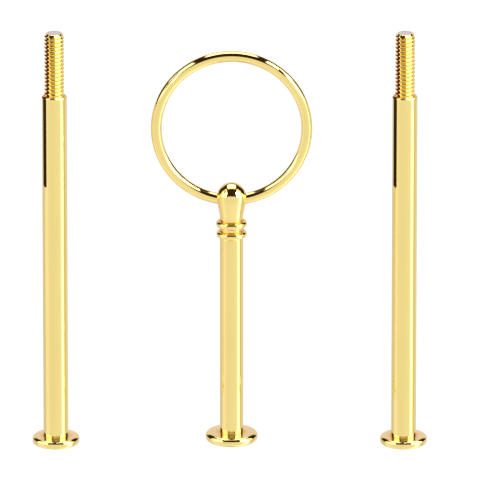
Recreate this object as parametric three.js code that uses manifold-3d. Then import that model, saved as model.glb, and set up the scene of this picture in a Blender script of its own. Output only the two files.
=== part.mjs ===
// The posts of a three-tier cake stand: two threaded spacer posts, and a top post with a ring
// handle. Each post stands loose on its own round foot. In use, a plate is clamped between one
// post's shoulder and the next post's foot, by the stud that rises through the plate's hole.
// Millimetres, +Z up. The origin is on the floor, at the middle of the space that the posts take
// up, with the spacer posts to its left (-X) and its right (+X).
import * as THREE from "three";
import { mergeVertices } from "three/addons/utils/BufferGeometryUtils.js";
import Module from "manifold-3d";

const wasm = await Module();
wasm.setup();

// Where the posts stand.
const SPACER_X = 56; // each spacer post's axis, either side of the origin
const HANDLE_X = 0.6;
const HANDLE_SET_BACK = 2.8; // the handle post stands a little behind the other two

// Threads, as outer radius, pitch and depth.
const PLATE_THREAD = { radius: 3.175, pitch: 1.27, depth: 0.69 }; // 1/4 in, 20 threads to the inch
const HEAD_THREAD = { radius: 2.5, pitch: 0.8, depth: 0.43 }; // 5 mm coarse
const FIT = 0.05; // radial gap between pieces that are pressed or screwed together

// Both kinds of post have a tapped socket in the foot end, for the stud of the post below.
const SOCKET_DEPTH = 24;
const SOCKET_RADIUS = PLATE_THREAD.radius + FIT;
const SEAT_WEB = 0.8; // what is left of a foot below the recess that its tube sits in
const FOOT_HOLE_RADIUS = SOCKET_RADIUS + 0.1;

const SPACER = {
  tube: { radius: 4, bore: 2.55, top: 117.7, edge: 0.35 },
  foot: { radius: 7.55, thickness: 2.55, topEdge: 0.7, bottomEdge: 0.7 },
  studExposed: 20.7,
  studInside: 10,
};

const HANDLE = {
  tube: { radius: 3.75, bore: 2.1, top: 69, edge: 0.3 },
  foot: { radius: 8.4, thickness: 2.85, topEdge: 1, bottomEdge: 1.1 },
  studInside: 7,
};

const COLLAR_THICKNESS = 2.1;
const LOWER_COLLAR_RADIUS = 4.85;
const UPPER_COLLAR_RADIUS = 4.95;
const NECK = { radius: 3.6, length: 1.4 };
const HEAD_BORE = HEAD_THREAD.radius + 0.1; // the collars and the neck slip over the joining stud

// The knob flares from its base through a waist to the rim that its dome stands on.
const KNOB = { base: 3.55, waist: 3.9, waistHeight: 3, rim: 4.7, rimStart: 5.9, domeHeight: 7.9 };
const KNOB_SOCKET = 6.2; // the knob's socket breaks into its cross hole
const STUD_IN_KNOB = 5.15; // so that the stud's tip locks the ring's two ends

const RING = { radius: 24.09, wire: 1.745, heightOverKnob: 31, gap: 1 };
const CROSS_HOLE_CLEARANCE = 0.25;

// How finely round shapes are faceted.
const LATHE_SEGMENTS = 24;
const CURVE_STEPS = 2;
const THREAD_SEGMENTS = 12;
const WIRE_SIDES = 12;
const RING_STEPS = 48;

// Heights up the handle post.
const LOWER_COLLAR_Z = HANDLE.tube.top;
const NECK_Z = LOWER_COLLAR_Z + COLLAR_THICKNESS;
const UPPER_COLLAR_Z = NECK_Z + NECK.length;
const KNOB_Z = UPPER_COLLAR_Z + COLLAR_THICKNESS;
const RING_Z = KNOB_Z + RING.heightOverKnob;
const JOINING_STUD_Z = HANDLE.tube.top - HANDLE.studInside;
const JOINING_STUD_LENGTH = KNOB_Z + STUD_IN_KNOB - JOINING_STUD_Z;

// Finishes: everything that shows is plated, the hidden joining stud is bare steel.
const POLISHED_GOLD = { color: 0xe6c45e, roughness: 0.08, metalness: 1 };
const TURNED_GOLD = { color: 0xe2c069, roughness: 0.22, metalness: 1 };
const THREAD_GOLD = { color: 0xd9ae4a, roughness: 0.25, metalness: 1 };
const BARE_STEEL = { color: 0xa9a9a4, roughness: 0.35, metalness: 1 };

// A geometry as a solid that can be cut. Only position is kept, so that shared vertices merge.
function solidOf(geometry) {
  geometry.deleteAttribute("normal");
  geometry.deleteAttribute("uv");
  const merged = mergeVertices(geometry, 1e-4);
  return new wasm.Manifold(
    new wasm.Mesh({
      numProp: 3,
      vertProperties: merged.getAttribute("position").array,
      triVerts: new Uint32Array(merged.getIndex().array),
    }),
  );
}

function geometryOf(solid) {
  const mesh = solid.getMesh();
  const geometry = new THREE.BufferGeometry();
  geometry.setAttribute("position", new THREE.BufferAttribute(mesh.vertProperties, 3));
  geometry.setIndex(new THREE.BufferAttribute(mesh.triVerts, 1));
  return geometry;
}

// Revolves an outline of radius against height about Z.
function turned(outline) {
  const points = outline.getPoints(CURVE_STEPS);
  return new THREE.LatheGeometry(points, LATHE_SEGMENTS).rotateX(Math.PI / 2);
}

// A tube with a tapped socket in each end and a narrower bore between them.
function tube({ radius, bore, top, edge }, topSocket) {
  const socketEnd = SEAT_WEB + SOCKET_DEPTH;
  const outline = new THREE.Path();
  outline.moveTo(SOCKET_RADIUS, SEAT_WEB);
  outline.lineTo(radius, SEAT_WEB);
  outline.lineTo(radius, top - edge);
  outline.absarc(radius - edge, top - edge, edge, 0, Math.PI / 2);
  outline.lineTo(topSocket.radius, top);
  outline.lineTo(topSocket.radius, top - topSocket.depth);
  outline.lineTo(bore, top - topSocket.depth);
  outline.lineTo(bore, socketEnd);
  outline.lineTo(SOCKET_RADIUS, socketEnd);
  outline.closePath();
  return turned(outline);
}

// A round foot with rounded rims, recessed on top for the tube and open through its middle.
function foot({ radius, thickness, topEdge, bottomEdge }, tubeRadius) {
  const recess = tubeRadius + FIT;
  const outline = new THREE.Path();
  outline.moveTo(FOOT_HOLE_RADIUS, 0);
  outline.lineTo(radius - bottomEdge, 0);
  outline.absarc(radius - bottomEdge, bottomEdge, bottomEdge, -Math.PI / 2, 0);
  outline.lineTo(radius, thickness - topEdge);
  outline.absarc(radius - topEdge, thickness - topEdge, topEdge, 0, Math.PI / 2);
  outline.lineTo(recess, thickness);
  outline.lineTo(recess, SEAT_WEB);
  outline.lineTo(FOOT_HOLE_RADIUS, SEAT_WEB);
  outline.closePath();
  return turned(outline);
}

// A stud with a right-hand thread and bevelled ends, standing on z = 0. Its grooves are turned as
// rings and then sheared along the axis, a pitch in a turn, so that each ring meets the next one.
function stud({ radius, pitch, depth }, length) {
  const root = radius - depth;
  const rings = Math.ceil(length / pitch) + 1;
  const outline = [new THREE.Vector2(0, -pitch)];
  for (let ring = 0; ring <= rings; ring++) {
    outline.push(new THREE.Vector2(root, (ring - 1) * pitch));
    outline.push(new THREE.Vector2(radius, (ring - 0.5) * pitch));
  }
  outline.push(new THREE.Vector2(0, (rings + 1) * pitch));

  const geometry = new THREE.LatheGeometry(outline, THREAD_SEGMENTS).rotateX(Math.PI / 2);
  const position = geometry.getAttribute("position");
  for (let i = 0; i < position.count; i++) {
    const turn = Math.floor(i / outline.length) / THREAD_SEGMENTS;
    const z = THREE.MathUtils.clamp(position.getZ(i) + pitch * turn, 0, length);
    const r = Math.hypot(position.getX(i), position.getY(i));
    const bevelled = Math.min(r, root + Math.min(z, length - z));
    const scale = r > 0 ? bevelled / r : 0;
    position.setXYZ(i, position.getX(i) * scale, position.getY(i) * scale, z);
  }
  return geometryOf(solidOf(geometry));
}

// A collar, round-edged all the way through its thickness.
function collar(radius) {
  const edge = COLLAR_THICKNESS / 2;
  const outline = new THREE.Path();
  outline.moveTo(HEAD_BORE, 0);
  outline.lineTo(radius - edge, 0);
  outline.absarc(radius - edge, edge, edge, -Math.PI / 2, Math.PI / 2);
  outline.lineTo(HEAD_BORE, COLLAR_THICKNESS);
  outline.closePath();
  return turned(outline);
}

function neck() {
  const outline = new THREE.Path();
  outline.moveTo(HEAD_BORE, 0);
  outline.lineTo(NECK.radius, 0);
  outline.lineTo(NECK.radius, NECK.length);
  outline.lineTo(HEAD_BORE, NECK.length);
  outline.closePath();
  return turned(outline);
}

// The ring's closed circle of wire, about Y, with its middle at the origin.
function wireCircle(wireRadius) {
  const circle = new THREE.TorusGeometry(RING.radius, wireRadius, WIRE_SIDES, RING_STEPS);
  return circle.rotateX(Math.PI / 2);
}

// The ring is bent from wire, and its two ends meet inside the knob.
function ring() {
  const gap = new THREE.BoxGeometry(RING.gap, 3 * RING.wire, 3 * RING.wire);
  gap.translate(0, 0, -RING.radius);
  return geometryOf(solidOf(wireCircle(RING.wire)).subtract(solidOf(gap)));
}

// The knob, with a socket for the joining stud and a curved cross hole for the ring.
function knob() {
  const outline = new THREE.Path();
  outline.moveTo(HEAD_THREAD.radius + FIT, 0);
  outline.lineTo(KNOB.base, 0);
  outline.bezierCurveTo(KNOB.waist, KNOB.waistHeight, KNOB.rim, KNOB.rimStart, KNOB.rim, KNOB.domeHeight);
  outline.absarc(0, KNOB.domeHeight, KNOB.rim, 0, Math.PI / 2);
  outline.lineTo(0, KNOB_SOCKET);
  outline.lineTo(HEAD_THREAD.radius + FIT, KNOB_SOCKET);
  outline.closePath();
  const crossHole = wireCircle(RING.wire + CROSS_HOLE_CLEARANCE);
  crossHole.translate(0, 0, RING.heightOverKnob);
  return geometryOf(solidOf(turned(outline)).subtract(solidOf(crossHole)));
}

function piece(name, geometry, finish, z = 0) {
  const mesh = new THREE.Mesh(geometry, new THREE.MeshStandardMaterial(finish));
  mesh.name = name;
  mesh.position.z = z;
  return mesh;
}

function spacerPost(side) {
  const socket = { radius: SOCKET_RADIUS, depth: SPACER.studInside + 0.3 };
  const studLength = SPACER.studInside + SPACER.studExposed;
  const studZ = SPACER.tube.top - SPACER.studInside;
  const post = new THREE.Group();
  post.add(
    piece(`${side}_foot`, foot(SPACER.foot, SPACER.tube.radius), TURNED_GOLD),
    piece(`${side}_tube`, tube(SPACER.tube, socket), POLISHED_GOLD),
    piece(`${side}_stud`, stud(PLATE_THREAD, studLength), THREAD_GOLD, studZ),
  );
  return post;
}

function handlePost() {
  const socket = { radius: HEAD_THREAD.radius + FIT, depth: HANDLE.studInside + 0.3 };
  const post = new THREE.Group();
  post.add(
    piece("handle_foot", foot(HANDLE.foot, HANDLE.tube.radius), TURNED_GOLD),
    piece("handle_tube", tube(HANDLE.tube, socket), POLISHED_GOLD),
    piece("joining_stud", stud(HEAD_THREAD, JOINING_STUD_LENGTH), BARE_STEEL, JOINING_STUD_Z),
    piece("lower_collar", collar(LOWER_COLLAR_RADIUS), POLISHED_GOLD, LOWER_COLLAR_Z),
    piece("neck_sleeve", neck(), POLISHED_GOLD, NECK_Z),
    piece("upper_collar", collar(UPPER_COLLAR_RADIUS), POLISHED_GOLD, UPPER_COLLAR_Z),
    piece("knob", knob(), POLISHED_GOLD, KNOB_Z),
    piece("ring_handle", ring(), POLISHED_GOLD, RING_Z),
  );
  return post;
}

// The set back is shared out so that the origin stays in the middle from front to back.
const handle = handlePost();
const handleY = (HANDLE_SET_BACK + SPACER.foot.radius - HANDLE.foot.radius) / 2;
handle.position.set(HANDLE_X, handleY, 0);

const left = spacerPost("left");
left.position.set(-SPACER_X, handleY - HANDLE_SET_BACK, 0);

const right = spacerPost("right");
right.position.set(SPACER_X, handleY - HANDLE_SET_BACK, 0);

const posts = new THREE.Group();
posts.add(handle, left, right);

export default posts;
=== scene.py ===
"""The gold-plated posts of a tiered cake stand, on white, among a studio's softboxes.

The frame gives the places and the main sizes. Each plated piece is made here as a fine mesh, with
rounded edges and true screw threads, round its own post's axis. The studio is painted on the sky
as the plating reflects it: a white table all round, softboxes at the left, right and top, and a
pale back wall. Small cards near the spacer posts add what their plating shows besides.
"""

import math

import bmesh
import bpy
import numpy as np
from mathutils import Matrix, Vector


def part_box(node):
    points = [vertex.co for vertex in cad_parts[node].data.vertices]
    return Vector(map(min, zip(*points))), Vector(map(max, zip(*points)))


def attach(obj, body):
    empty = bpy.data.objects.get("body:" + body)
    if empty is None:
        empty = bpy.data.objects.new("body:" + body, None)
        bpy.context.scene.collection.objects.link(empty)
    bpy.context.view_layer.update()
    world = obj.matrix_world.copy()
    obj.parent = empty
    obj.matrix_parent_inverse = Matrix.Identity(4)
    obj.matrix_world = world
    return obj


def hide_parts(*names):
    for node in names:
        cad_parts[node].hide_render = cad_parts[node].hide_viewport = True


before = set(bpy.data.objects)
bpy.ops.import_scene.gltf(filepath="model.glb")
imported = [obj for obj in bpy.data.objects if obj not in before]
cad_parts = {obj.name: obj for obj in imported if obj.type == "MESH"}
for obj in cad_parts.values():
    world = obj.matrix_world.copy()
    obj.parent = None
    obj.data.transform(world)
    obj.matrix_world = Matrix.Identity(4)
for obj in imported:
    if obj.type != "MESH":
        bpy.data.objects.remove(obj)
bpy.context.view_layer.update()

MM = 0.001
TURN = 2 * math.pi

# How finely round shapes are divided: round an axis, through a rounded edge, round the ring and
# its wire, through a pitch of thread, and up the flare and the dome of the knob.
LATHE_STEPS = 128
EDGE_STEPS = 8
RING_STEPS = 320
WIRE_STEPS = 64
THREAD_STEPS = 16
FLARE_STEPS = 24
DOME_STEPS = 32
MERGE = 0.0004 * MM  # points nearer than this are one point

# What the boxes of the CAD nodes don't say, in mm. The plate thread is the one that holds plates.
SOCKET_RADIUS = 3.225  # for the plate thread, in foot ends and shoulders
SOCKET_DEPTH = 24
HEAD_SOCKET_RADIUS = 2.55  # for the joining stud
HEAD_BORE = 2.6  # through the collars and the neck, for the joining stud
FOOT_WEB = 0.8  # what is left of a foot below the recess that its tube sits in
PLATE_PITCH = 1.27
PLATE_DEPTH = 0.69
THREAD_FULLNESS = 0.75  # below 1, a thread's crests are rounder and its roots sharper
CREASE = 0.4  # how far the crease over a collar reaches up the piece that stands on it

LEVEL = 0.9  # a face lies level when its normal's Z is above this


# ------------------------------------------------------------ places


def radius_of(node):
    low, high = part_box(node)
    return (high.y - low.y) / 2 / MM


def height_of(node):
    low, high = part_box(node)
    return (high.z - low.z) / MM


def base_of(node):
    """The point on a node's axis, level with its underside."""
    low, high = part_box(node)
    return Vector(((low.x + high.x) / 2, (low.y + high.y) / 2, low.z))


# ------------------------------------------------------------ meshes


def add_grid(mesh, points, closed_rows=False, columns_step=0):
    """Adds faces through rows of points that go round an axis. The last column meets the first
    one columns_step rows further on, which makes a helix of it."""
    rows, columns = points.shape[:2]
    verts = [[mesh.verts.new(point) for point in row] for row in points]
    for row in range(rows if closed_rows else rows - 1):
        ahead = (row + 1) % rows
        for column in range(columns):
            beside = (column + 1) % columns
            step = columns_step if beside == 0 else 0
            if max(row, ahead) + step >= rows:
                continue
            corners = [verts[row][column], verts[row + step][beside]]
            corners += [verts[ahead + step][beside], verts[ahead][column]]
            mesh.faces.new(corners)


def around(radius, height):
    """Points round Z, a column for each step of a turn, from radii and heights in mm."""
    angle = np.arange(LATHE_STEPS) * TURN / LATHE_STEPS
    return np.stack([radius * np.cos(angle), radius * np.sin(angle), height + 0 * angle], -1) * MM


def add_turned(mesh, outline, closed=True):
    """Revolves an outline of (radius, height) about Z."""
    outline = np.array(outline, float)
    add_grid(mesh, around(outline[:, :1], outline[:, 1:]), closed_rows=closed)


def add_thread(mesh, crest, root, pitch, low, high):
    """A right-hand thread's wall from height low to high. It runs out to the root at each end."""
    # The form is a wave: how far along a pitch each of its points is, and how high above the root.
    form = np.arange(THREAD_STEPS) / THREAD_STEPS
    wave = ((1 + np.cos(TURN * form)) / 2) ** THREAD_FULLNESS
    turns = math.ceil((high - low) / pitch) + 2
    along = (np.arange(-1, turns)[:, None] + form).reshape(-1, 1) * pitch
    ridge = np.tile(wave, turns + 1)[:, None] * abs(crest - root)
    height = np.clip(low + along + pitch * np.arange(LATHE_STEPS) / LATHE_STEPS, low, high)
    run_out = np.minimum(height - low, high - height)
    radius = root + math.copysign(1, crest - root) * np.minimum(ridge, run_out)
    add_grid(mesh, around(radius, height), columns_step=len(form))


def eased(corners):
    """An outline from (radius, height, rounding) corners, with each rounded corner as an arc."""
    outline = []
    for i, (radius, height, rounding) in enumerate(corners):
        here = Vector((radius, height))
        if rounding == 0:
            outline.append(here)
            continue
        to_last = (Vector(corners[i - 1][:2]) - here).normalized()
        to_next = (Vector(corners[(i + 1) % len(corners)][:2]) - here).normalized()
        half = to_last.angle(to_next) / 2
        centre = here + (to_last + to_next).normalized() * rounding / math.sin(half)
        reach = rounding / math.tan(half)
        start = here + to_last * reach - centre
        end = here + to_next * reach - centre
        for step in range(EDGE_STEPS + 1):
            outline.append(centre + start.slerp(end, step / EDGE_STEPS) * rounding)
    return outline


def finished(name, mesh, node, materials, body, sharp=50):
    """Turns a bmesh into a smooth piece that rides on a body, and stands for a CAD node if one is
    given. Edges sharper than the angle sharp, in degrees, stay sharp."""
    bmesh.ops.remove_doubles(mesh, verts=mesh.verts, dist=MERGE)
    bmesh.ops.dissolve_degenerate(mesh, edges=mesh.edges, dist=MERGE)
    bmesh.ops.recalc_face_normals(mesh, faces=mesh.faces)
    data = bpy.data.meshes.new(name)
    mesh.to_mesh(data)
    mesh.free()
    data.shade_smooth()
    data.set_sharp_from_angle(angle=math.radians(sharp))
    for material in materials:
        data.materials.append(material)
    piece = bpy.data.objects.new(name, data)
    bpy.context.scene.collection.objects.link(piece)
    normals = piece.modifiers.new("even_shading", "WEIGHTED_NORMAL")
    normals.keep_sharp = True
    if node:
        piece.location = base_of(node)
        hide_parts(node)
    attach(piece, body)
    return piece


# ------------------------------------------------------------ materials


def add_node(tree, kind, inputs=None, **settings):
    """Adds a node. Each input is a value, or the output that feeds it."""
    made = tree.nodes.new(kind)
    for key, value in settings.items():
        setattr(made, key, value)
    for key, value in (inputs or {}).items():
        if isinstance(value, bpy.types.NodeSocket):
            tree.links.new(value, made.inputs[key])
        else:
            made.inputs[key].default_value = value
    return made


def calc(tree, operation, *values):
    made = add_node(tree, "ShaderNodeMath", dict(enumerate(values)), operation=operation)
    return made.outputs[0]


def vector_calc(tree, operation, inputs, output="Vector"):
    made = add_node(tree, "ShaderNodeVectorMath", inputs, operation=operation)
    return made.outputs[output]


def ranged(tree, value, from_low, from_high, to_low=0.0, to_high=1.0, smooth=True):
    """A value's place in one range, moved to another range and held inside it."""
    kind = "SMOOTHSTEP" if smooth else "LINEAR"
    spans = {"From Min": from_low, "From Max": from_high, "To Min": to_low, "To Max": to_high}
    made = add_node(tree, "ShaderNodeMapRange", {"Value": value, **spans}, interpolation_type=kind)
    return made.outputs[0]


def noise(tree, place, scale):
    """Noise in object space. The scale is per metre, along X, Y and Z."""
    stretched = add_node(tree, "ShaderNodeMapping", {"Vector": place, "Scale": scale})
    inputs = {"Vector": stretched.outputs[0], "Scale": 1.0, "Detail": 2.0}
    return add_node(tree, "ShaderNodeTexNoise", inputs).outputs["Fac"]


def bumped(tree, height, distance, normal=None):
    inputs = {"Height": height, "Strength": 1.0, "Distance": distance}
    if normal:
        inputs["Normal"] = normal
    return add_node(tree, "ShaderNodeBump", inputs).outputs[0]


GOLD = (0.96, 0.75, 0.27)
DEEP_GOLD = (0.96, 0.73, 0.24)
PALE_GOLD = (0.94, 0.77, 0.42)
# Painted reflection in the creases between pieces and where the ring's wire meets the knob.
CREASE_REFLECTION_GOLD = (0.96, 0.6, 0.14)
# Painted reflection of a tube in its foot's top.
TUBE_REFLECTION_PAINT = (0.94, 0.58, 0.16)
CUT_END = (0.78, 0.7, 0.62)
STEEL = (0.56, 0.56, 0.54)


def metal(name, colour, low_rough, high_rough, rough_scale, bumps, turned=None):
    """A metal. Its roughness and its shade vary by noise, and each bump is a noise scale and a
    height. Turned is the number of turning marks per metre of radius and their height. A turned
    metal also gets a painted reflection: a more orange gold near its axis."""
    material = bpy.data.materials.new(name)
    material.use_nodes = True
    tree = material.node_tree
    shader = tree.nodes["Principled BSDF"]
    shader.inputs["Metallic"].default_value = 1.0
    place = add_node(tree, "ShaderNodeTexCoord").outputs["Object"]

    cloud = noise(tree, place, rough_scale)
    worn = ranged(tree, cloud, 0.3, 0.7, low_rough, high_rough)
    tree.links.new(worn, shader.inputs["Roughness"])

    darker, lighter = 0.96, 1.02
    shade = add_node(tree, "ShaderNodeMix", {"Factor": cloud}, data_type="RGBA")
    shade.inputs[6].default_value = (*[part * darker for part in colour], 1)
    shade.inputs[7].default_value = (*[part * lighter for part in colour], 1)
    tree.links.new(shade.outputs[2], shader.inputs["Base Color"])

    normal = None
    for scale, height in bumps:
        normal = bumped(tree, noise(tree, place, scale), height, normal)
    if turned:
        marks, height = turned
        flat = vector_calc(tree, "MULTIPLY", {0: place, 1: (1, 1, 0)})
        distance = vector_calc(tree, "LENGTH", {0: flat}, "Value")

        # Painted reflection: close to the tube the colour turns a more orange gold, as the foot and
        # the tube mirror each other there.
        reflection_mask = ranged(tree, distance, 4.0 * MM, 5.8 * MM, 1.0, 0.0)
        painted_reflection = add_node(tree, "ShaderNodeMix", {"Factor": reflection_mask}, data_type="RGBA")
        tree.links.new(shade.outputs[2], painted_reflection.inputs[6])
        painted_reflection.inputs[7].default_value = (*TUBE_REFLECTION_PAINT, 1)
        tree.links.new(painted_reflection.outputs[2], shader.inputs["Base Color"])

        rings = add_node(tree, "ShaderNodeCombineXYZ", {"X": calc(tree, "MULTIPLY", distance, marks)})
        inputs = {"Vector": rings.outputs[0], "Scale": 1.0, "Detail": 3.0}
        lines = add_node(tree, "ShaderNodeTexNoise", inputs).outputs["Fac"]
        normal = bumped(tree, lines, height, normal)
    tree.links.new(normal, shader.inputs["Normal"])
    return material


polished = metal(
    "polished_gold", GOLD, 0.03, 0.07, (150, 150, 40),
    [((120, 120, 25), 0.000012), ((2500, 2500, 2500), 0.0000003)],
)
satin = metal(
    "satin_gold", GOLD, 0.07, 0.11, (500, 500, 300), [((700, 700, 500), 0.0000015)],
)
turned = metal(
    "turned_gold", PALE_GOLD, 0.2, 0.28, (600, 600, 600),
    [((900, 900, 900), 0.000002)], turned=(3500, 0.00002),
)
threaded = metal(
    "thread_gold", DEEP_GOLD, 0.04, 0.09, (900, 900, 900), [((1500, 1500, 1500), 0.000002)],
)
# The orange gold of a painted reflection, for creases and the ring's joints to the knob.
crease_reflection = metal(
    "crease_reflection_gold", CREASE_REFLECTION_GOLD, 0.3, 0.4, (900, 900, 900), [((900, 900, 900), 0.000003)],
)
cut = metal(
    "cut_end", CUT_END, 0.2, 0.3, (900, 900, 900), [((900, 900, 900), 0.000002)],
)
steel = metal(
    "bare_steel", STEEL, 0.25, 0.4, (900, 900, 900), [((2500, 2500, 2500), 0.000002)],
)


# ------------------------------------------------------------ pieces


def make_tube(post, bore, edge, socket_radius, socket_depth):
    """A post's tube: a threaded socket at the foot, a bore, and a socket at the top for a stud."""
    node = f"{post}_tube"
    radius, top = radius_of(node), height_of(node)
    foot_edge, mouth_edge = 0.1, 0.12
    mesh = bmesh.new()
    outline = eased([
        (SOCKET_RADIUS, 0, 0), (radius, 0, foot_edge), (radius, top, edge),
        (socket_radius, top, mouth_edge), (socket_radius, top - socket_depth, 0),
        (bore, top - socket_depth, 0), (bore, SOCKET_DEPTH, 0), (SOCKET_RADIUS, SOCKET_DEPTH, 0),
    ])
    add_turned(mesh, outline, closed=False)
    add_thread(mesh, SOCKET_RADIUS - PLATE_DEPTH, SOCKET_RADIUS, PLATE_PITCH, 0, SOCKET_DEPTH)
    finished(f"{node}_plated", mesh, node, [polished], f"{post}_post")


def make_foot(post, top_edge, bottom_edge):
    """A post's round foot. Its rim is polished, and its top keeps the marks of turning. Near the
    tube its top has a painted reflection of the tube, in a more orange gold.
    """
    node = f"{post}_foot"
    radius, top = radius_of(node), height_of(node)
    hole = SOCKET_RADIUS + 0.1
    recess = radius_of(f"{post}_tube") + 0.05
    crown = 0.06  # how far the top rises from the rim to the tube
    hole_edge, recess_edge = 0.2, 0.08
    mesh = bmesh.new()
    outline = eased([
        (hole, 0, hole_edge), (radius, 0, bottom_edge), (radius, top - crown, top_edge),
        (recess, top, recess_edge), (recess, FOOT_WEB, 0), (hole, FOOT_WEB, 0),
    ])
    add_turned(mesh, outline)
    piece = finished(f"{node}_plated", mesh, node, [polished, turned], f"{post}_post")
    for face in piece.data.polygons:
        out = math.hypot(face.center.x, face.center.y) / MM
        if face.center.z > top / 2 * MM and recess < out < radius - top_edge:
            face.material_index = 1


def make_stud(post):
    """The threaded stud that stands out of a spacer post's shoulder. Its end face is unplated."""
    node = f"{post}_stud"
    radius, top = radius_of(node), height_of(node)
    root = radius - PLATE_DEPTH
    dish = 0.08  # how much lower the end face is in its middle
    end_depth = 0.1  # what lies level within this of the top is the end face
    end_face = [
        (root, top), (root * 0.6, top - dish / 4), (root * 0.3, top - dish * 3 / 4), (0, top - dish),
    ]
    mesh = bmesh.new()
    add_thread(mesh, radius, root, PLATE_PITCH, 0, top)
    add_turned(mesh, [(root, 0), (0, 0)], closed=False)
    add_turned(mesh, end_face, closed=False)
    piece = finished(
        f"{node}_plated", mesh, node, [threaded, cut], f"{post}_post", sharp=70
    )
    for face in piece.data.polygons:
        if face.center.z > (top - end_depth) * MM and face.normal.z > LEVEL:
            face.material_index = 1


def make_collar(node, drop):
    """A collar with a round edge. From the seat outwards its top drops a little, and that slope
    is painted a more orange gold, as a reflection in the crease."""
    radius, top = radius_of(node), height_of(node)
    seat, lower_edge, edge = 3.3, 0.95, 0.75
    mesh = bmesh.new()
    add_turned(mesh, eased([
        (HEAD_BORE, 0, 0), (radius, 0, lower_edge), (radius, top - drop, edge), (seat, top, 0),
        (HEAD_BORE, top, 0),
    ]))
    piece = finished(f"{node}_plated", mesh, node, [polished, crease_reflection], "handle_post")
    for face in piece.data.polygons:
        out = math.hypot(face.center.x, face.center.y) / MM
        if face.normal.z > LEVEL and out < radius - edge:
            face.material_index = 1


def paint_crease_reflection(piece):
    """Paints the lowest band of a piece a more orange gold, as a reflection in the crease that it
    stands in.
    """
    for face in piece.data.polygons:
        if face.center.z < CREASE * MM:
            face.material_index = 1


def make_neck():
    """The short sleeve between the collars, a little narrower at its foot."""
    node = "neck_sleeve"
    radius, top = radius_of(node), height_of(node)
    taper = 0.1
    mesh = bmesh.new()
    add_turned(mesh, [
        (HEAD_BORE, 0), (radius - taper, 0), (radius - taper / 2, CREASE), (radius, top),
        (HEAD_BORE, top),
    ])
    piece = finished(f"{node}_plated", mesh, node, [polished, crease_reflection], "handle_post")
    paint_crease_reflection(piece)


def knob_outline():
    """The knob's outside from its base up: it flares from its foot to the rim below its dome."""
    top, rim = height_of("knob"), radius_of("knob")
    dome = top - rim
    controls = [Vector((3.55, 0)), Vector((3.9, 3)), Vector((rim, dome - 2)), Vector((rim, dome))]
    outline = []
    for step in range(FLARE_STEPS + 1):
        t = step / FLARE_STEPS
        weights = ((1 - t) ** 3, 3 * t * (1 - t) ** 2, 3 * t ** 2 * (1 - t), t ** 3)
        outline.append(sum((c * w for c, w in zip(controls, weights)), Vector((0, 0))))
    for step in range(1, DOME_STEPS + 1):
        angle = TURN / 4 * step / DOME_STEPS
        outline.append(Vector((rim * math.cos(angle), dome + rim * math.sin(angle))))
    return outline


def make_knob():
    depth = 6.2
    socket = [(0, depth), (HEAD_SOCKET_RADIUS, depth), (HEAD_SOCKET_RADIUS, 0)]
    mesh = bmesh.new()
    add_turned(mesh, [*socket, *knob_outline()], closed=False)
    piece = finished("knob_plated", mesh, "knob", [satin, crease_reflection], "handle_post")
    paint_crease_reflection(piece)


def wire_point(centre, ring_radius, wire_radius, along, about):
    """A point on the ring's wire. Along is the angle round the ring from its bottom, and about
    the angle round the wire from its outside."""
    out = ring_radius + wire_radius * math.cos(about)
    side = wire_radius * math.sin(about)
    return centre + Vector((out * math.sin(along), side, -out * math.cos(along))) * MM


def make_ring():
    """The ring handle, of round wire. Its two ends meet inside the knob."""
    low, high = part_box("ring_handle")
    wire = (high.y - low.y) / 2 / MM
    radius = (high.x - low.x) / 2 / MM - wire
    centre = Vector((0, 0, radius + wire)) * MM
    gap = 1.0  # between the wire's ends
    half_gap = gap / 2 / radius
    rows = []
    for step in range(RING_STEPS + 1):
        along = half_gap + (TURN - 2 * half_gap) * step / RING_STEPS
        rows.append([
            wire_point(centre, radius, wire, along, TURN * turn / WIRE_STEPS)
            for turn in range(WIRE_STEPS)
        ])
    mesh = bmesh.new()
    add_grid(mesh, np.array(rows))
    bmesh.ops.holes_fill(mesh, edges=mesh.edges)
    finished("ring_handle_plated", mesh, "ring_handle", [polished], "handle_post")
    return centre + base_of("ring_handle"), radius, wire


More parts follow.
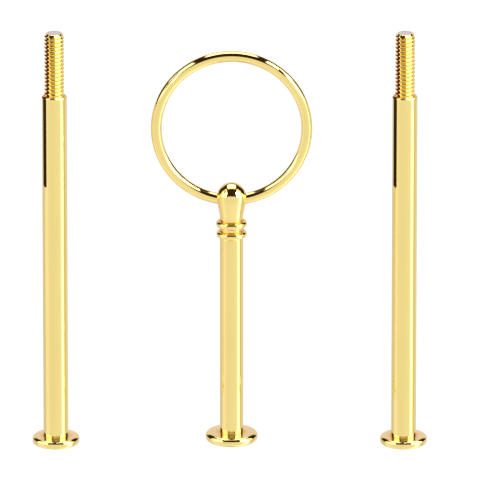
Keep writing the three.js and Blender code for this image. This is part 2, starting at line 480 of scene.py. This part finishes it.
def make_fillets(centre, radius, wire):
    """The braze that fairs the ring's wire into the knob on both sides."""
    knob_base = base_of("knob")
    knob_heart = knob_base + Vector((0, 0, 7 * MM))
    heights = [point.y for point in knob_outline()]
    radii = [point.x for point in knob_outline()]

    def meets(wire_radius, about, side):
        """The angle round the ring where its wire, thickened to wire_radius, leaves the knob. It
        is found by halving the span between an angle inside the knob and one outside it."""
        inside, outside = 0.0, 0.6
        for _ in range(30):
            along = (inside + outside) / 2
            point = (wire_point(centre, radius, wire_radius, side * along, about) - knob_base) / MM
            surface = np.interp(point.z, heights, radii)
            if math.hypot(point.x, point.y) < surface:
                inside = along
            else:
                outside = along
        return outside

    # A slice through the braze is an arc from the wire to the knob, drawn in towards the corner
    # between them, and closed by a point inside the knob.
    reach = 0.38  # how far the braze spreads, along the wire and out over the knob
    buried = 0.01  # how far its edge lies below the wire's surface
    corner_in, edge_in = 0.004, 0.0005  # angles by which the corner and the edge lie in the knob
    inwards = 0.12  # how far the closing point is from the corner towards the knob's heart
    for side, name in ((-1, "left"), (1, "right")):
        rows = []
        for turn in range(WIRE_STEPS):
            about = TURN * turn / WIRE_STEPS
            inner = meets(wire, about, side)
            outer = meets(wire + reach, about, side)
            spread = inner + reach / radius
            corner = wire_point(centre, radius, wire - 2 * buried, side * (inner - corner_in), about)
            on_wire = wire_point(centre, radius, wire - buried, side * spread, about)
            on_knob = wire_point(centre, radius, wire + reach, side * (outer - edge_in), about)
            row = []
            for step in range(EDGE_STEPS + 1):
                t = step / EDGE_STEPS
                row.append(on_wire * (1 - t) ** 2 + corner * 2 * t * (1 - t) + on_knob * t ** 2)
            row.append(corner.lerp(knob_heart, inwards))
            rows.append([point - knob_base for point in row])
        mesh = bmesh.new()
        add_grid(mesh, np.array(rows).transpose(1, 0, 2), closed_rows=True)
        # The braze is painted the orange gold of a reflection between the wire and the knob.
        piece = finished(f"{name}_ring_braze", mesh, None, [crease_reflection], "handle_post")
        piece.location = knob_base


# ------------------------------------------------------------ studio

SEEN_WHITE = 1.05  # how bright the floor and the sky behind it are to the camera


def make_world():
    """White to the camera. To the plating, a studio: a table with bands of light on it, softboxes
    at the left, right and top, a pale back wall, and darkness between them."""
    world = bpy.data.worlds.new("studio")
    bpy.context.scene.world = world
    world.use_nodes = True
    tree = world.node_tree
    tree.nodes.clear()
    direction = add_node(tree, "ShaderNodeTexCoord").outputs["Generated"]
    x, y, z = add_node(tree, "ShaderNodeSeparateXYZ", {"Vector": direction}).outputs[:]
    azimuth = calc(tree, "ARCTAN2", x, calc(tree, "MULTIPLY", y, -1.0))
    elevation = calc(tree, "DEGREES", calc(tree, "ARCSINE", z))

    def by_azimuth(stops, scale):
        """A colour that changes with the azimuth. Each stop is an azimuth in degrees, counted from
        the camera's side rightwards, and a colour of at most scale."""
        share = ranged(tree, azimuth, -math.pi, math.pi, smooth=False)
        ramp = add_node(tree, "ShaderNodeValToRGB", {"Fac": share})
        elements = ramp.color_ramp.elements
        elements.remove(elements[1])
        for i, (degrees, *colour) in enumerate(sorted(stops)):
            position = (degrees + 180) / 360
            element = elements.new(position) if i else elements[0]
            element.position = position
            element.color = (*[c / scale for c in colour], 1)
        return vector_calc(tree, "SCALE", {0: ramp.outputs["Color"], "Scale": scale})

    def window(value, low, high, soft):
        """1 between low and high, and 0 outside them, with soft edges."""
        rising = ranged(tree, value, low - soft, low + soft)
        falling = ranged(tree, value, high - soft, high + soft, 1.0, 0.0)
        return calc(tree, "MULTIPLY", rising, falling)

    def side_box(side, front, back, low, high, strength):
        """A softbox that stands on the table, facing inwards, in shares of its distance."""
        towards = calc(tree, "MAXIMUM", calc(tree, "MULTIPLY", x, float(side)), 0.0001)
        across = window(calc(tree, "DIVIDE", y, towards), front, back, 0.05)
        up = window(calc(tree, "DIVIDE", z, towards), low, high, 0.05)
        return calc(tree, "MULTIPLY", calc(tree, "MULTIPLY", across, up), strength)

    def back_wall(half_width, height):
        """The studio's pale back wall, in shares of its distance."""
        towards = calc(tree, "MAXIMUM", y, 0.0001)
        across = window(calc(tree, "DIVIDE", x, towards), -half_width, half_width, 0.08)
        up = ranged(tree, calc(tree, "DIVIDE", z, towards), height - 0.12, height + 0.12, 1.0, 0.0)
        return calc(tree, "MULTIPLY", across, up)

    def top_box(width, front, back, strength):
        """A softbox overhead, facing down, in shares of its height."""
        towards = calc(tree, "MAXIMUM", z, 0.0001)
        across = window(calc(tree, "DIVIDE", x, towards), -width, width, 0.06)
        along = window(calc(tree, "DIVIDE", y, towards), front, back, 0.06)
        return calc(tree, "MULTIPLY", calc(tree, "MULTIPLY", across, along), strength)

    table = by_azimuth(
        [
            (-180, 0.72, 0.72, 0.78), (-107, 0.74, 0.74, 0.8), (-99, 1.03, 1.02, 1.12),
            (-67, 1.03, 1.02, 1.12), (-58, 0.91, 0.93, 0.97), (-20, 0.9, 0.92, 0.94),
            (30, 0.93, 0.96, 1.0), (54, 0.97, 1.0, 1.05), (62, 1.5, 1.5, 1.6), (68, 2.4, 2.4, 2.6),
            (84, 2.4, 2.4, 2.6), (89, 0.95, 0.9, 0.78), (94, 0.77, 0.73, 0.6),
            (112, 0.77, 0.73, 0.6), (122, 0.86, 0.87, 0.95), (180, 0.72, 0.72, 0.78),
        ],
        3.0,
    )

    # How many degrees up the table's far edge is, by azimuth. It is the same on both sides.
    table_edge = {0: 21, 26: 19, 36: 11, 44: 7, 98: 4, 105: 1, 143: 1, 148: 6, 180: 6}
    stops = []
    for right, height in table_edge.items():
        stops += [(degrees, height, height, height) for degrees in {-right, right}]
    horizon = by_azimuth(stops, 30.0)
    horizon = add_node(tree, "ShaderNodeSeparateXYZ", {"Vector": horizon}).outputs[0]
    above = ranged(tree, calc(tree, "SUBTRACT", elevation, horizon), -1.0, 1.0)

    # The table is brighter near the post, but straight down it lies in the post's own shade.
    near = ranged(tree, elevation, -45.0, -20.0, 1.09, 1.0)
    under = ranged(tree, elevation, -85.0, -60.0, 0.8, 1.0)
    below = calc(tree, "SUBTRACT", 1.0, above)
    lit = calc(tree, "MULTIPLY", below, calc(tree, "MULTIPLY", near, under))
    lower = vector_calc(tree, "SCALE", {0: table, "Scale": lit})

    left_box = side_box(side=-1, front=-1.15, back=0.2, low=-0.1, high=1.3, strength=2.4)
    right_box = side_box(side=1, front=-1.1, back=0.2, low=-0.1, high=1.43, strength=4.5)
    overhead = top_box(width=0.45, front=-0.05, back=1.0, strength=2.8)
    boxes = calc(tree, "ADD", calc(tree, "ADD", left_box, right_box), overhead)
    wall = back_wall(half_width=0.75, height=0.6)
    gloom = (0.035, 0.018, 0.010)
    wall_colour = (0.86, 0.78, 0.76)
    parts = {}
    for axis, dark, pale in zip("XYZ", gloom, wall_colour):
        lightest = calc(tree, "MAXIMUM", boxes, calc(tree, "MULTIPLY", wall, pale))
        parts[axis] = calc(tree, "ADD", lightest, dark)
    upper = add_node(tree, "ShaderNodeCombineXYZ", parts).outputs[0]
    upper = vector_calc(tree, "SCALE", {0: upper, "Scale": above})
    colour = vector_calc(tree, "ADD", {0: lower, 1: upper})

    reflected = add_node(tree, "ShaderNodeBackground", {"Color": colour}).outputs[0]
    white = {"Color": (1, 1, 1, 1), "Strength": SEEN_WHITE}
    seen = add_node(tree, "ShaderNodeBackground", white).outputs[0]
    from_camera = add_node(tree, "ShaderNodeLightPath").outputs["Is Camera Ray"]
    mixed = add_node(tree, "ShaderNodeMixShader", {0: from_camera, 1: reflected, 2: seen}).outputs[0]
    add_node(tree, "ShaderNodeOutputWorld", {"Surface": mixed})


def make_panel(name, corners, material):
    """A flat panel of the studio, which is no part of the object."""
    data = bpy.data.meshes.new(name)
    data.from_pydata(corners, [], [tuple(range(len(corners)))])
    data.materials.append(material)
    panel = bpy.data.objects.new(name, data)
    bpy.context.scene.collection.objects.link(panel)
    return panel


def one_sided(name, colour):
    """A material that glows evenly on its front and can't be seen from behind."""
    material = bpy.data.materials.new(name)
    material.use_nodes = True
    tree = material.node_tree
    tree.nodes.clear()
    light = add_node(tree, "ShaderNodeEmission", {"Color": (*colour, 1)}).outputs[0]
    clear = add_node(tree, "ShaderNodeBsdfTransparent").outputs[0]
    facing_away = add_node(tree, "ShaderNodeNewGeometry").outputs["Backfacing"]
    surface = add_node(tree, "ShaderNodeMixShader", {0: facing_away, 1: light, 2: clear}).outputs[0]
    add_node(tree, "ShaderNodeOutputMaterial", {"Surface": surface})
    return material


def make_floor():
    """A plain white floor, level with the feet. The sky already shows it to the plating."""
    half = 4.0
    corners = [(-half, -half, 0), (half, -half, 0), (half, half, 0), (-half, half, 0)]
    floor = make_panel("floor", corners, one_sided("floor_white", (SEEN_WHITE,) * 3))
    floor.visible_glossy = False
    floor.visible_diffuse = False
    floor.visible_shadow = False


def make_card(name, centre, colour, azimuth, elevation, distance, half_width, half_height):
    """A small card near a post, seen only in its plating. It is one-sided and faces the centre
    point, from a distance in mm and in a direction in degrees, from the camera's side rightwards."""
    turn, lift = math.radians(azimuth), math.radians(elevation)
    level = Vector((math.sin(turn), -math.cos(turn), 0))
    upright = Vector((0, 0, 1))
    middle = centre + distance * MM * (math.cos(lift) * level + math.sin(lift) * upright)
    across = half_width * MM * Vector((math.cos(turn), math.sin(turn), 0))
    along = half_height * MM * (math.cos(lift) * upright - math.sin(lift) * level)
    corners = [middle - across - along, middle - across + along]
    corners += [middle + across + along, middle + across - along]
    card = make_panel(name, corners, one_sided(name, colour))
    card.visible_camera = False
    card.visible_diffuse = False
    card.visible_shadow = False


def make_cards(post):
    """Cards round a spacer post: a black one left of the tube's upper part, and four round the
    stud. After its colour, a card has its azimuth, elevation, distance and half sizes."""
    upper_part = base_of(f"{post}_tube") + Vector((0, 0, 100 * MM))
    shoulder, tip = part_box(f"{post}_tube")[1].z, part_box(f"{post}_stud")[1].z
    thread = base_of(f"{post}_stud")
    thread.z = (shoulder + tip) / 2
    make_card(f"{post}_black_card", upper_part, (0.03, 0.02, 0.012), -92, 0, 14, 5.6, 17)
    make_card(f"{post}_maroon_card", thread, (0.12, 0.02, 0.01), -107, 0, 14, 8.6, 15)
    make_card(f"{post}_brown_card", thread, (0.07, 0.015, 0.006), -40, 45, 26, 10, 19)
    make_card(f"{post}_white_card", thread, (2.8, 2.9, 3.8), 30, 40, 26, 7, 22)
    make_card(f"{post}_rear_card", thread, (0.8, 0.72, 0.7), 122, 15, 20, 8, 14)


def make_camera():
    """A long lens, looking down at the posts, a little right of their middle."""
    pitch = math.radians(18.6)
    distance = 4.0
    view_width = 0.1539
    aim = Vector((3.31, -1.825, 68.85)) * MM
    data = bpy.data.cameras.new("camera")
    data.sensor_width = 36.0
    data.lens = data.sensor_width * distance / view_width
    data.clip_end = 50.0
    camera = bpy.data.objects.new("camera", data)
    camera.location = aim + distance * Vector((0, -math.cos(pitch), math.sin(pitch)))
    camera.rotation_euler = (TURN / 4 - pitch, 0, 0)
    bpy.context.scene.collection.objects.link(camera)
    bpy.context.scene.camera = camera


# ------------------------------------------------------------ the scene

bpy.context.scene.view_settings.view_transform = "Standard"
make_camera()
make_world()
make_floor()

for side in ("left", "right"):
    make_tube(side, bore=2.55, edge=0.65, socket_radius=SOCKET_RADIUS, socket_depth=10.3)
    make_foot(side, top_edge=1.0, bottom_edge=0.8)
    make_stud(side)
    make_cards(side)

make_tube("handle", bore=2.1, edge=0.3, socket_radius=HEAD_SOCKET_RADIUS, socket_depth=7.3)
make_foot("handle", top_edge=1.25, bottom_edge=1.2)
make_collar("lower_collar", drop=0.12)
make_neck()
make_collar("upper_collar", drop=0.2)
make_knob()
ring_centre, ring_radius, wire_radius = make_ring()
make_fillets(ring_centre, ring_radius, wire_radius)

joining_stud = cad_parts["joining_stud"]
joining_stud.data.materials.clear()
joining_stud.data.materials.append(steel)
